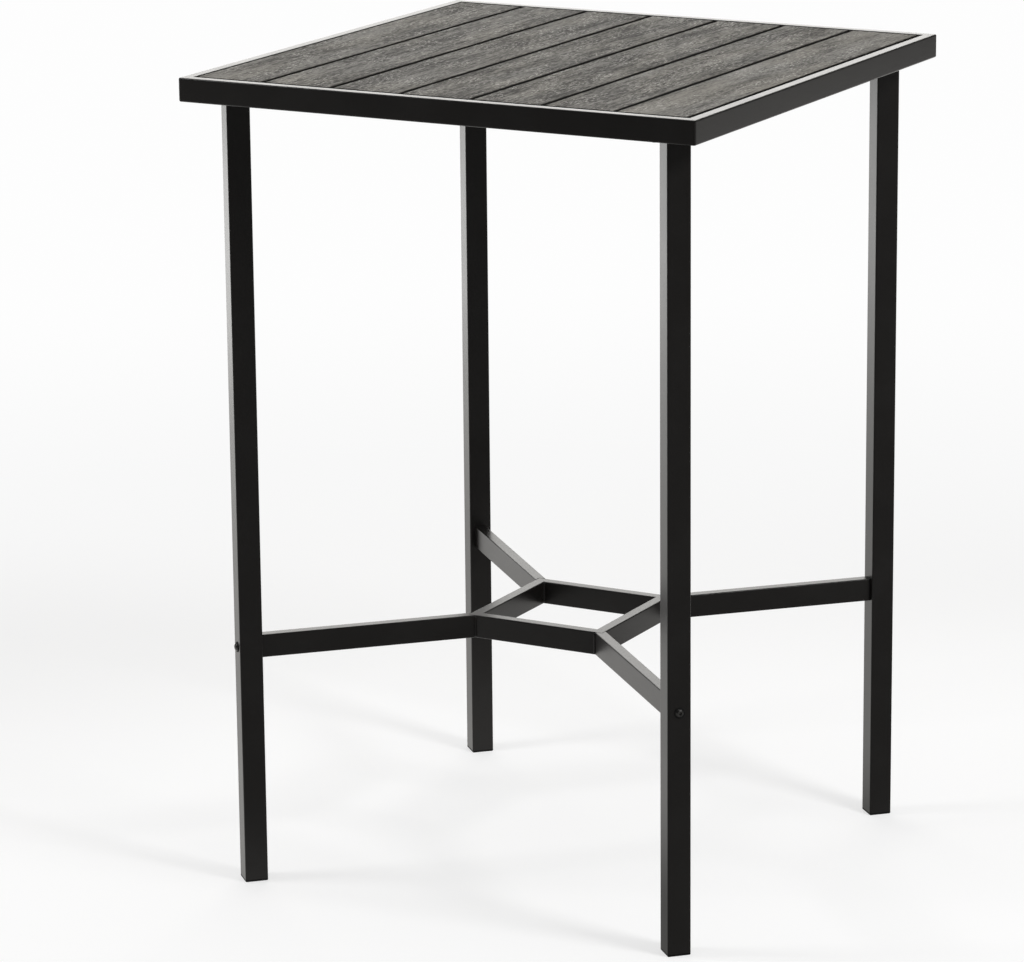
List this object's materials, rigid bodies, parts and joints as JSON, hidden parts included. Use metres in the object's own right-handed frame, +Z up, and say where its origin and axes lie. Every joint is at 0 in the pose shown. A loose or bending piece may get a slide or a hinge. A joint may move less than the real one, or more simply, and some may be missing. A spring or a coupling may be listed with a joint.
{
  "type": "pub table",
  "caption": "Square bar-height patio table with a slatted plank top in a tube rim, square tube legs and a low stretcher of diagonal arms around a small square hub.",
  "frame": {"origin": "on the floor under the middle of the top", "axes": "+Z up, +X along the front rim and across the slats, +Y towards the back along the slats"},
  "size_m": [0.71, 0.71, 1.05],
  "materials": {
    "powder_coat": "fine semi-gloss black powder coat",
    "slat_plank": "embossed wood grain, brushed dark grey artificial wood",
    "foot_plastic": "moulded black plastic",
    "black_bolt": "black zinc-plated steel",
    "bare_aluminium": "mill finish",
    "screw_steel": "stainless"
  },
  "bodies": {
    "root": {"rim_front": "powder_coat", "rim_right": "powder_coat", "rim_back": "powder_coat", "rim_left": "powder_coat", "slat_1": "slat_plank", "slat_2": "slat_plank", "slat_3": "slat_plank", "slat_4": "slat_plank", "slat_5": "slat_plank", "slat_6": "slat_plank", "slat_7": "slat_plank", "slat_ledge_front": "powder_coat", "slat_ledge_back": "powder_coat", "cross_rail_front": "powder_coat", "cross_rail_back": "powder_coat", "corner_gusset_front_left": "powder_coat", "corner_gusset_front_right": "powder_coat", "corner_gusset_back_right": "powder_coat", "corner_gusset_back_left": "powder_coat", "leg_plate_front_left": "powder_coat", "leg_plate_front_right": "powder_coat", "leg_plate_back_right": "powder_coat", "leg_plate_back_left": "powder_coat", "leg_front_left": "powder_coat", "leg_front_right": "powder_coat", "leg_back_right": "powder_coat", "leg_back_left": "powder_coat", "foot_cap_front_left": "foot_plastic", "foot_cap_front_right": "foot_plastic", "foot_cap_back_right": "foot_plastic", "foot_cap_back_left": "foot_plastic", "hub_bar_front": "powder_coat", "hub_bar_right": "powder_coat", "hub_bar_back": "powder_coat", "hub_bar_left": "powder_coat", "stretcher_arm_front_left": "powder_coat", "stretcher_arm_front_right": "powder_coat", "stretcher_arm_back_right": "powder_coat", "stretcher_arm_back_left": "powder_coat", "arm_end_plug_front_left": "bare_aluminium", "arm_end_plug_front_right": "bare_aluminium", "arm_end_plug_back_right": "bare_aluminium", "arm_end_plug_back_left": "bare_aluminium", "stretcher_bolts": "black_bolt", "bolt_sleeves": "bare_aluminium", "leg_bolts": "black_bolt", "leg_bolt_washers": "black_bolt", "slat_screws": "screw_steel"}
  },
  "joints": []
}
